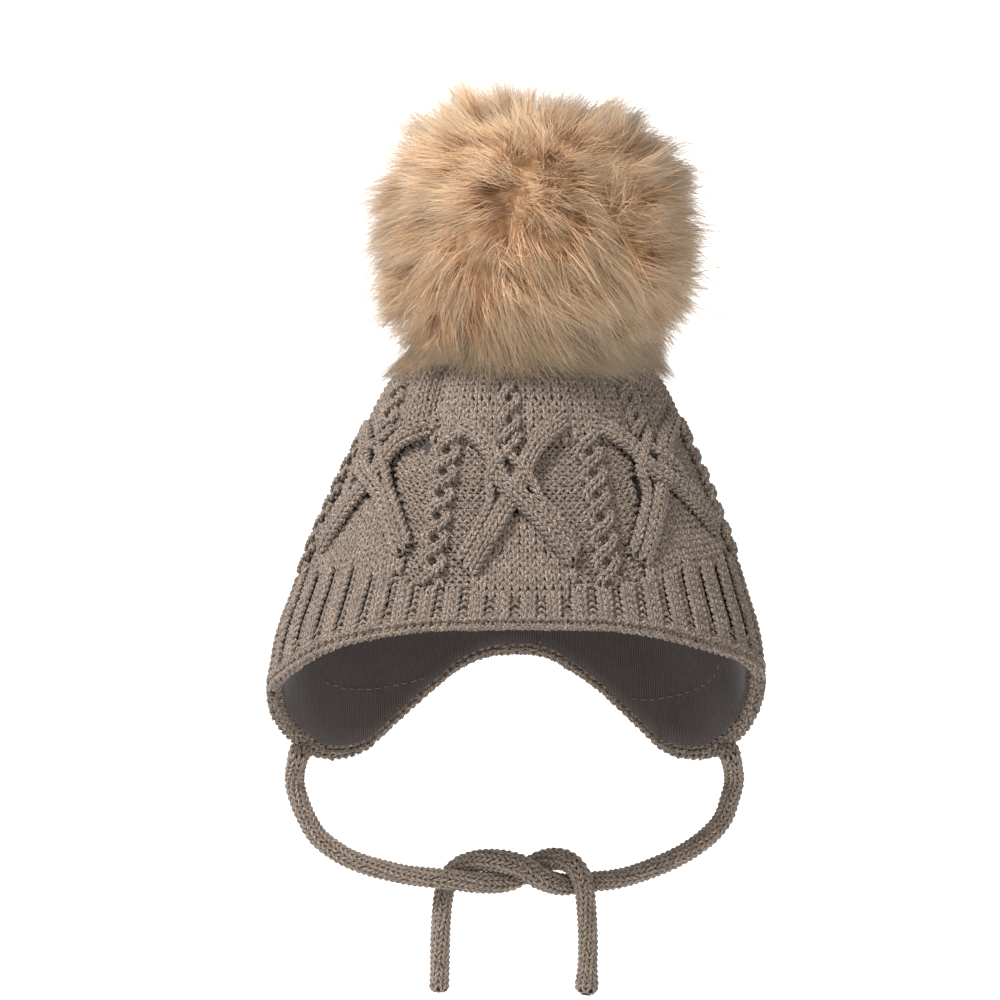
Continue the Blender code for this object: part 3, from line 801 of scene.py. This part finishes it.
# %% Lining
LINING_OUT, LINING_THICKNESS, LINING_LOFT, EDGE_BORDER = 4.7, 1.0, 0.5, 4.2
# share of the crown's folds that the lining follows, and of its own wrinkles
LINING_FOLDS, WRINKLE_SHARE = 0.4, 0.7
# middle of the crease in the right flap, and millimetres to a degree there
CREASE_ANGLE, CREASE_HEIGHT, CREASE_SCALE = 134.0, -146.0, 1.27


def wrinkles(angle, run):
    """Low waves, gathers beside the back seam and one slanting crease in the right flap."""
    z = height_at(run)
    a = np.radians(angle)
    back = (np.asarray(angle) % 360) - 180
    aside, down = (np.asarray(angle) - CREASE_ANGLE) * CREASE_SCALE, z - CREASE_HEIGHT
    over, beside = 0.6 * aside + 0.8 * down, 0.6 * down - 0.8 * aside
    crease = np.exp(-over ** 2 / 4.0 - beside ** 2 / 80.0)
    return (0.6 * np.sin(5 * a + 0.07 * z) + 0.5 * np.sin(13 * a - 0.11 * z + 1.0)
            + np.exp(-back ** 2 / 50.0) * np.sin(a * 50) - 1.4 * np.exp(-back ** 2 / 1.2)
            - 2.8 * crease)


def lining_face(angle, run, out=0.0):
    """Points on the lining's inner face, with its wrinkles, moved out by out."""
    wave = wrinkles(angle, run) * np.clip(run / 30, 0, 1)
    inner = -LINING_OUT - LINING_THICKNESS - LINING_LOFT
    return skin(run, angle, inner + wave * WRINKLE_SHARE + out, LINING_FOLDS)


def lining_grid(columns=220, rows=34):
    """Down the side that meets the knit, round the hem, and up the inner face."""
    angle = angle_of(np.arange(columns) / columns - 0.5)
    run = np.linspace(POLE_SHARE, 1, rows)[:, None] * (edge_run(angle) - EDGE_BORDER)
    back = skin(run, angle, -LINING_OUT, LINING_FOLDS)
    hem = skin(run[-1] + 0.5, angle, -LINING_OUT - LINING_THICKNESS / 2, LINING_FOLDS)[None]
    return np.concatenate([back, hem, lining_face(angle, run)[::-1]])


lining = sheet_piece("lining_cloth", lining_grid())

# %% Topstitches on the lining
# angle from the front, how far below the crown's edge the row of stitches runs
TOPSTITCH = {-1: ((122, 2.5), (130, 7.6), (140, 10.4), (150, 9.7), (156, 8.0)),
             1: ((116, -4.9), (119.5, 0.9), (123, 4.6), (133, 11.0), (142.5, 15.4), (149, 16.0))}
DASH, DASH_GAP = 2.3, 1.5


def topstitches(side):
    """Short straight stitches of sewing thread along a row, each a three point tube."""
    angles, drops = np.array(TOPSTITCH[side], float).T
    angle = side * np.linspace(angles[0], angles[-1], 400)
    run = rim_run(angle) + np.interp(np.abs(angle), angles, drops)
    row = lining_face(angle, run)
    along = lengths_along(row)
    start = np.arange(0, along[-1] - DASH, DASH + DASH_GAP)[:, None]
    at = start + DASH * np.array([0, 0.5, 1.0])
    a, r = np.interp(at, along, angle), np.interp(at, along, run)
    lines = lining_face(a, r, np.array([0.1, -0.35, 0.1]))
    up = unit(lining_face(a, r, -1.0) - lining_face(a, r))
    return lines, up, np.full(at.shape, 0.24)


topstitch = yarn_piece("lining_topstitch", *joined([topstitches(-1), topstitches(1)]))

# %% [markdown]
# ## The pompom
# Real fur is thousands of tapering hairs in loose clumps: long bent guard hairs over short
# straight ones. Each is a three-sided needle. It starts inside the ball, swings with a slow
# swirl, gathers towards its clump, is cut at the hem and is kept clear of the crown below.

# %% Fur
POMPOM_CENTRE = np.array([4.5, 0.0, 38.0])
POMPOM_REACH = 60.0
GUARD_HAIRS, UNDER_HAIRS = 17800, 43600
CLUMPS = 760
# how low the tips hang: across and height in mm
FUR_HEM = np.array([(-60, -6.0), (-47, -9.5), (-29, -14.0), (-10, -17.0), (4, -20.0),
                    (26, -17.0), (44, -14.0), (55, -10.5), (66, -6.0)])
FUR_SIDE, FUR_TOP = 70.5, 114.0
# how unevenly the tips are cut at the hem, and how far the longest hang below it
HEM_SPREAD, HEM_DROP = 4.0, 2.5
# the core, which is raised to the crown's outline above CORE_FLOOR
CORE_RADIUS, CORE_CLEARANCE, CORE_FLOOR, POLE_TILT = 46.0, 1.0, -125.0, 0.02


def scattered(count):
    """Even directions on a ball by the golden angle."""
    i = np.arange(count) + 0.5
    z = 1 - 2 * i / count
    turn = np.pi * (1 + 5**0.5) * i
    flat = np.sqrt(1 - z * z)
    return np.stack([flat * np.cos(turn), flat * np.sin(turn), z], 1)


def clear_of_crown(points, clearance):
    """Points moved level away from the crown's axis until they stand clear of it."""
    x, y, z = np.moveaxis(points, -1, 0)
    half = half_at(run_at(np.minimum(z, CREST)))
    x = x - AXIS_LEAN * z
    k = np.hypot(x / (half + clearance), y / (DEPTH_SHARE * half + clearance))
    k = np.where((z > CREST + clearance) | (k >= 1), 1.0, np.maximum(k, 0.05))
    return np.stack([AXIS_LEAN * z + x / k, y / k, z], -1)


def swirl(direction):
    """The flow of the hair: away from a point in front, a little down, round and wavy."""
    x, y, z = np.moveaxis(direction, -1, 0)
    front = np.array([-0.10, -0.97, 0.22])
    facing = (1 + direction @ front)[..., None] / 2
    wave = np.stack([np.sin(3.1 * y + 2.3 * z), np.sin(2.7 * z - 1.9 * x),
                     np.sin(3.3 * x + 2.1 * y)], -1)
    ripple = np.stack([np.sin(7.1 * z + 5.3 * x), np.sin(6.3 * x - 4.9 * y),
                       np.sin(5.9 * y + 6.7 * x + 1.0)], -1)
    round_axis = np.cross(np.array([0.35, -0.4, 0.85]), direction)
    flow = (-0.55 * front * facing + 0.16 * round_axis + 0.20 * wave + 0.13 * ripple
            + np.array([0.0, 0.0, -0.16]))
    return flow - direction * np.sum(flow * direction, -1, keepdims=True)


def fullness(way):
    """How far the fur reaches in a direction: more below, at the shoulders and to the left."""
    x, up = way[..., 0], way[..., 2]
    return (np.minimum(1 + 0.22 * np.clip(-up, 0, 1), 1.15)
            * (1 + 0.26 * np.abs(x) * np.clip(up, 0, 1))
            * (1 + 0.10 * np.clip(-x, 0, 1) + 0.03 * np.clip(x, 0, 1)))


CLUMP_WAYS = unit(scattered(CLUMPS) + rng.normal(0, 0.05, (CLUMPS, 3)))
CLUMP_SIZE = rng.normal(0, 0.035, CLUMPS)
CLUMP_TURN = rng.normal(0, 0.13, (CLUMPS, 3))
CLUMP_HEM = rng.normal(0, 2.4, CLUMPS)


def trimmed(lines, nearest):
    """Hairs that hang below the hem are shortened towards their roots; roots below it go."""
    low = np.interp(lines[:, -1, 0], FUR_HEM[:, 0], FUR_HEM[:, 1]) + CLUMP_HEM[nearest]
    low = low + rng.exponential(HEM_SPREAD, len(lines)) - HEM_DROP
    root, tip = lines[:, 0, 2], lines[:, -1, 2]
    share = np.where(tip < low, (root - low) / np.maximum(root - tip, 1e-6), 1.0)
    lines = lines[:, :1] + (lines - lines[:, :1]) * np.clip(share, 0, 1)[:, None, None]
    return lines, share > 0.12


def hair_lines(count, steps, reach_share, strays, length):
    """Points from root to tip, the clump of each hair and its thickness."""
    root = unit(scattered(count) + rng.normal(0, 0.02, (count, 3)))
    root = root[root[:, 2] > -0.90]
    nearest = np.concatenate([(part @ CLUMP_WAYS.T).argmax(1)
                              for part in np.array_split(root, 40)])
    clump = CLUMP_WAYS[nearest]
    full = fullness(root)
    stray = rng.random(len(root)) < strays
    reach = POMPOM_REACH * reach_share * full * (1 + CLUMP_SIZE[nearest]
                                                 + rng.normal(0, 0.035, len(root)))
    y, z = root[:, 1], np.clip(root[:, 2], 0, 1)
    far = 0.18 + 0.34 * np.clip(1 - 2.2 * np.abs(y), 0, 1) * (1 - z * z)
    reach = np.where(stray, reach * (1.03 + far * rng.random(len(root)) ** 1.6), reach)
    start = reach - length * full * rng.uniform(0.85, 1.15, len(root))
    out = []
    for t in steps:
        gather = 0.55 * t * np.where(stray, 0.2, 1.0)
        way = root + (clump - root) * gather[:, None]
        way = way + swirl(root) * (0.75 * t**1.3) + CLUMP_TURN[nearest] * t
        way = way + rng.normal(0, 0.05, root.shape) * t
        out.append(POMPOM_CENTRE + unit(way) * (start + (reach - start) * t)[:, None])
    lines, keep = trimmed(np.stack(out, 1), nearest)
    lines = clear_of_crown(lines, 1.2 + 6.0 * rng.random((len(lines), 1)) * np.array(steps))
    lines = np.clip(lines, (-200, -FUR_SIDE, -200), (200, FUR_SIDE, FUR_TOP))
    fine = rng.uniform(0.7, 1.2, len(lines)) * np.where(stray, 0.55, 1.0)
    return lines[keep], nearest[keep], fine[keep]


def hair_piece(name, steps, thick, lines, nearest, fine):
    """Three-sided needles: a ring of three at every point but the last, which is the tip."""
    count, rings = len(lines), len(steps) - 1
    size = 3 * rings + 1
    up = unit(np.cross(unit(np.gradient(lines, axis=1)), [0.31, 0.17, 0.93]))
    tube = tube_arrays(lines, up, fine[:, None] * np.array([thick]), 3)
    points = np.concatenate([tube[:, :rings].reshape(count, 3 * rings, 3), lines[:, -1:]], 1)
    base = (np.arange(count) * size)[:, None, None]
    ring, after = np.arange(3), (np.arange(3) + 1) % 3
    low, top = 3 * np.arange(rings - 1)[:, None], 3 * (rings - 1)
    quads = np.stack([low + ring, low + after, low + 3 + after, low + 3 + ring], -1)
    quads = quads.reshape(1, 3 * (rings - 1), 4) + base
    ends = np.stack([top + ring, top + after, np.full(3, size - 1)], -1)
    ends = np.concatenate([ends, [[2, 1, 0]]])[None] + base
    piece = fill_mesh(name, points.reshape(-1, 3) * MM, quads.reshape(-1, 4), ends.reshape(-1, 3))
    along = np.append(np.repeat(steps[:-1], 3), 1.0)
    turn = np.append(np.tile([0.0, 0.33, 0.67], rings), 0.5)
    u, v = sheet_cells(count, along[None], turn[None])
    corner = np.concatenate([quads.reshape(-1), ends.reshape(-1)])
    set_uv(piece.data, "OFBake", np.stack([u.reshape(-1)[corner], v.reshape(-1)[corner]], -1))
    set_points(piece.data, "hair_along", np.tile(along, count))
    set_points(piece.data, "hair_tint", np.repeat(rng.random(count), size))
    # clump level: a random tone plus painted light and shade by direction; painted light makes the
    # left paler, painted shade makes the bottom much darker, and the top is darker too
    aside, _, up = CLUMP_WAYS[nearest].T
    painted_light_and_shade = (1 - 0.9 * np.clip(up, 0, 1) - 2.6 * np.clip(-up - 0.40, 0, 1)
            + 0.3 * np.clip(-aside, 0, 1))
    tint = 0.4 * (np.sin(nearest * 12.9898) * 0.5 + 0.5) + 0.6 * painted_light_and_shade
    set_points(piece.data, "clump_tone_and_painted_light", np.repeat(tint, size))
    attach(piece, "root")
    print(name, "hairs", count, "triangles", count * (6 * rings - 2))
    return piece


GUARD_STEPS, UNDER_STEPS = (0.0, 0.55, 1.0), (0.0, 1.0)
furs = [hair_piece("pompom_guard_hair", GUARD_STEPS, (0.18, 0.155, 0.015),
                   *hair_lines(GUARD_HAIRS, GUARD_STEPS, 0.99, 0.16, 30.0)),
        hair_piece("pompom_under_hair", UNDER_STEPS, (0.195, 0.02),
                   *hair_lines(UNDER_HAIRS, UNDER_STEPS, 0.94, 0.01, 16.0))]


def fur_core():
    """A closed ball under the hairs, its radius waved, its underside raised to the crown."""
    columns, rows = 96, 48
    turn = np.linspace(0, 2 * np.pi, columns, endpoint=False)
    tilt = np.linspace(POLE_TILT, np.pi - POLE_TILT, rows)[:, None]
    way = np.stack([np.sin(tilt) * np.cos(turn), np.sin(tilt) * np.sin(turn),
                    np.cos(tilt) + 0 * turn], -1)
    wave = 1 + 0.03 * np.sin(7 * turn + 5 * tilt) * np.sin(6 * tilt)
    grid = POMPOM_CENTRE + way * (CORE_RADIUS * fullness(way) * wave)[..., None]
    x, y, z = np.moveaxis(grid, -1, 0)
    rising = OUTLINE[:, 1] > CORE_FLOOR
    crown = np.interp(np.hypot(x - AXIS_LEAN * z, y / DEPTH_SHARE), *OUTLINE[rising].T)
    grid[..., 2] = np.maximum(z, crown + CORE_CLEARANCE)
    return grid


core = sheet_piece("pompom_core", fur_core())

# %% [markdown]
# ## Materials
# The yarn is melange wool: light and dark fibres spun in two plies. Its colour and bump follow
# the yarn's own UV map, so the plies wind round every loop. The fur is darker at the root and
# cream at the tip. The jersey has fine upright ribs.

# %% Node helpers
def new_material(name, rough, sheen=0.0):
    material = bpy.data.materials.new(name)
    material.use_nodes = True
    nodes, links = material.node_tree.nodes, material.node_tree.links
    shader = nodes["Principled BSDF"]
    shader.inputs["Roughness"].default_value = rough
    shader.inputs["Sheen Weight"].default_value = sheen
    shader.inputs["Specular IOR Level"].default_value = 0.25
    return material, nodes, links, shader


def node_with(nodes, kind, **values):
    """A new node with the values of some inputs, their names' spaces written as low lines."""
    node = nodes.new("ShaderNode" + kind)
    for label, value in values.items():
        node.inputs[label.replace("_", " ")].default_value = value
    return node


def uv_node(nodes, label):
    node = nodes.new("ShaderNodeUVMap")
    node.uv_map = label
    return node


def ramp(nodes, stops):
    node = nodes.new("ShaderNodeValToRGB")
    while len(node.color_ramp.elements) < len(stops):
        node.color_ramp.elements.new(0.5)
    for element, (at, colour) in zip(node.color_ramp.elements, stops):
        element.position, element.color = at, (*colour, 1.0)
    return node


def mathematics(nodes, links, operation, first, second, slot=1):
    """A calculation with two linked inputs, the second in a given slot."""
    node = nodes.new("ShaderNodeMath")
    node.operation = operation
    links.new(first, node.inputs[0])
    links.new(second, node.inputs[slot])
    return node


def tint_level(nodes, links, label, low, high):
    """A mesh value of 0 to 1, spread between two levels."""
    tint = nodes.new("ShaderNodeAttribute")
    tint.attribute_name = label
    level = node_with(nodes, "MapRange", To_Min=low, To_Max=high)
    links.new(tint.outputs["Fac"], level.inputs["Value"])
    return level.outputs["Result"]


def shade_by(nodes, links, shader, colour, level):
    """The base colour is a colour times a level."""
    shade = nodes.new("ShaderNodeVectorMath")
    shade.operation = "SCALE"
    links.new(colour, shade.inputs[0])
    links.new(level, shade.inputs["Scale"])
    links.new(shade.outputs["Vector"], shader.inputs["Base Color"])


def bump_by(nodes, links, shader, height, **values):
    """The height bends the shader's normal."""
    bump = node_with(nodes, "Bump", **values)
    links.new(height, bump.inputs["Height"])
    links.new(bump.outputs["Normal"], shader.inputs["Normal"])


def linear(r, g, b):
    """Linear light from the 0 to 255 values of a screen colour."""
    v = np.array([r, g, b]) / 255.0
    return tuple(np.where(v > 0.04045, ((v + 0.055) / 1.055) ** 2.4, v / 12.92))


# %% Yarn material
def yarn_material(name, dark, middle, light):
    """Fibre noise stretched along the yarn picks the colour; slanting ply waves give the bump."""
    material, nodes, links, shader = new_material(name, 0.9, 0.25)
    uv = uv_node(nodes, "Yarn")
    fibre_map = node_with(nodes, "Mapping", Scale=(0.55, 7.0, 1.0), Rotation=(0.0, 0.0, 0.35))
    fibre = node_with(nodes, "TexNoise", Scale=1.6, Detail=4.0)
    colour = ramp(nodes, ((0.30, dark), (0.50, middle), (0.72, light)))
    links.new(uv.outputs["UV"], fibre_map.inputs["Vector"])
    links.new(fibre_map.outputs["Vector"], fibre.inputs["Vector"])
    links.new(fibre.outputs["Fac"], colour.inputs["Fac"])
    level = tint_level(nodes, links, "loop_tint", 0.88, 1.12)
    shade_by(nodes, links, shader, colour.outputs["Color"], level)
    ply_map = node_with(nodes, "Mapping", Scale=(0.5, 2.0, 1.0))
    ply = node_with(nodes, "TexWave", Scale=1.0, Distortion=1.2)
    ply.bands_direction = "DIAGONAL"
    links.new(uv.outputs["UV"], ply_map.inputs["Vector"])
    links.new(ply_map.outputs["Vector"], ply.inputs["Vector"])
    both = mathematics(nodes, links, "ADD", ply.outputs["Fac"], fibre.outputs["Fac"])
    bump_by(nodes, links, shader, both.outputs["Value"], Strength=0.6, Distance=0.0003)
    return material


wool = yarn_material("melange_wool", linear(60, 47, 38), linear(131, 114, 100),
                     linear(210, 192, 176))
tie_wool = yarn_material("tie_wool", linear(66, 53, 44), linear(140, 123, 109),
                         linear(212, 195, 179))

# %% Fur, jersey and backing materials
def fur_material():
    """Colour runs from root to tip, and each hair and clump is a little lighter or darker; the clump
    level also carries painted light on the left, painted shade towards the bottom and a darker top.
    """
    material, nodes, links, shader = new_material("tan_fur", 0.55, 0.15)
    along = nodes.new("ShaderNodeAttribute")
    along.attribute_name = "hair_along"
    colour = ramp(nodes, ((0.0, linear(186, 136, 93)), (0.5, linear(236, 194, 151)),
                          (1.0, linear(248, 222, 188))))
    links.new(along.outputs["Fac"], colour.inputs["Fac"])
    product = mathematics(nodes, links, "MULTIPLY",
                          tint_level(nodes, links, "hair_tint", 0.78, 1.10),
                          tint_level(nodes, links, "clump_tone_and_painted_light", 0.58, 1.12))
    shade_by(nodes, links, shader, colour.outputs["Color"], product.outputs["Value"])
    return material


def streaked_material(name, dark, light, scale):
    """Noise on the piece's own coordinates between two colours."""
    material, nodes, links, shader = new_material(name, 0.9)
    place = nodes.new("ShaderNodeTexCoord")
    noise = node_with(nodes, "TexNoise", Scale=scale, Detail=6.0)
    colour = ramp(nodes, ((0.35, dark), (0.65, light)))
    links.new(place.outputs["Object"], noise.inputs["Vector"])
    links.new(noise.outputs["Fac"], colour.inputs["Fac"])
    links.new(colour.outputs["Color"], shader.inputs["Base Color"])
    bump_by(nodes, links, shader, noise.outputs["Fac"], Distance=0.0006)
    return material


def jersey_material():
    """Fine upright ribs from a wave round the lining, with a soft mottle."""
    material, nodes, links, shader = new_material("jersey", 0.8, 0.35)
    wave = node_with(nodes, "TexWave", Scale=150.0, Distortion=0.6)
    place = nodes.new("ShaderNodeTexCoord")
    noise = node_with(nodes, "TexNoise", Scale=420.0)
    links.new(uv_node(nodes, "Cloth").outputs["UV"], wave.inputs["Vector"])
    links.new(place.outputs["Object"], noise.inputs["Vector"])
    both = mathematics(nodes, links, "MULTIPLY_ADD", noise.outputs["Fac"], wave.outputs["Fac"], 2)
    both.inputs[1].default_value = 0.55
    colour = ramp(nodes, ((0.15, linear(47, 41, 39)), (1.0, linear(84, 75, 71))))
    links.new(both.outputs["Value"], colour.inputs["Fac"])
    links.new(colour.outputs["Color"], shader.inputs["Base Color"])
    bump_by(nodes, links, shader, both.outputs["Value"], Strength=0.5, Distance=0.0002)
    return material


# painted shade: this dark wool, on the wall under the knit and on the cores in the ties, stands for
# yarn in shadow between the loops
painted_shade_wool = streaked_material("wool_in_shadow", linear(54, 44, 36), linear(84, 71, 60), 900.0)
thread = streaked_material("sewing_thread", linear(122, 112, 105), linear(150, 139, 130), 900.0)
# partly the fur's own deeper colour and partly painted shade: the core's brown makes the gaps
# between the hairs look dark
under_fur_and_shade = streaked_material("under_fur_and_shade", linear(140, 104, 74), linear(190, 150, 112), 260.0)
tan_fur = fur_material()
jersey = jersey_material()

# %% Dress the pieces
DRESS = (
    ((band, cables, ground_low, ground_top), wool, "knit", ("knit_crown",)),
    ((edge,), wool, "knit", ()),
    ((flaps["ear_flap_left"],), wool, "knit", ("ear_flap_left",)),
    ((flaps["ear_flap_right"],), wool, "knit", ("ear_flap_right",)),
    ((wall,), painted_shade_wool, "knit", ()),
    ((lining,), jersey, "jersey", ("lining",)),
    ((topstitch,), thread, "jersey", ()),
    (tuple(furs), tan_fur, "fur", ("pompom",)),
    ((core,), under_fur_and_shade, "fur", ()),
    ((ties["tie_left"][0], ties["tie_right"][0]), tie_wool, "tie_yarn", ()),
    ((ties["tie_left"][1], ties["tie_right"][1]), painted_shade_wool, "tie_yarn", ()),
)
for pieces, material, slot, nodes_replaced in DRESS:
    for piece in pieces:
        piece.data.materials.append(material)
        if nodes_replaced:
            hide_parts(*nodes_replaced)

# %% [markdown]
# ## Stage and light
# A white sweep far below the hat, soft light from high on the left, a weak one in front and one
# turned away to the sweep.

# %% Stage
def stage_sweep():
    """A floor that curves up into a back wall: a quarter circle between two straight runs."""
    bend = np.linspace(0, np.pi / 2, 24)
    curve = [(1.4 + 0.9 * np.sin(a), 0.28 - 0.9 * np.cos(a)) for a in bend]
    profile = [(-3.0, -0.62), *curve, (2.3, 3.5)]
    across = np.linspace(-4.0, 4.0, 9)
    grid = np.array([[(x, y, z) for x in across] for y, z in profile]) / MM
    rows, columns = grid.shape[:2]
    index = np.arange(rows * columns).reshape(rows, columns)
    quads = np.stack([index[:-1, :-1], index[:-1, 1:], index[1:, 1:], index[1:, :-1]], -1)
    piece = fill_mesh("stage_sweep", grid.reshape(-1, 3) * MM, quads.reshape(-1, 4))
    material, _, _, shader = new_material("stage_paper", 0.9)
    shader.inputs["Base Color"].default_value = (0.90, 0.90, 0.90, 1.0)
    shader.inputs["Emission Color"].default_value = (1.0, 1.0, 1.0, 1.0)
    shader.inputs["Emission Strength"].default_value = 0.14
    piece.data.materials.append(material)


def soft_box(name, place, size, power, target=(0.0, 0.0, -0.06)):
    data = bpy.data.lights.new(name, "AREA")
    data.shape, data.size, data.energy = "DISK", size, power
    lamp = bpy.data.objects.new(name, data)
    lamp.location = Vector(place)
    lamp.rotation_euler = (Vector(target) - lamp.location).to_track_quat("-Z", "Y").to_euler()
    bpy.context.collection.objects.link(lamp)


stage_sweep()
soft_box("key_light", (-0.90, -0.84, 1.16), 0.45, 35.0)
soft_box("fill_light", (0.5, -1.5, 0.35), 1.0, 6.0)
soft_box("backdrop_light", (0.0, 0.7, 1.3), 1.2, 36.0, (0.0, 2.3, 0.2))
world = bpy.data.worlds.new("soft_white")
world.use_nodes = True
world.node_tree.nodes["Background"].inputs["Color"].default_value = (1.0, 1.0, 1.0, 1.0)
world.node_tree.nodes["Background"].inputs["Strength"].default_value = 0.36
bpy.context.scene.world = world
bpy.context.scene.view_settings.view_transform = "Standard"
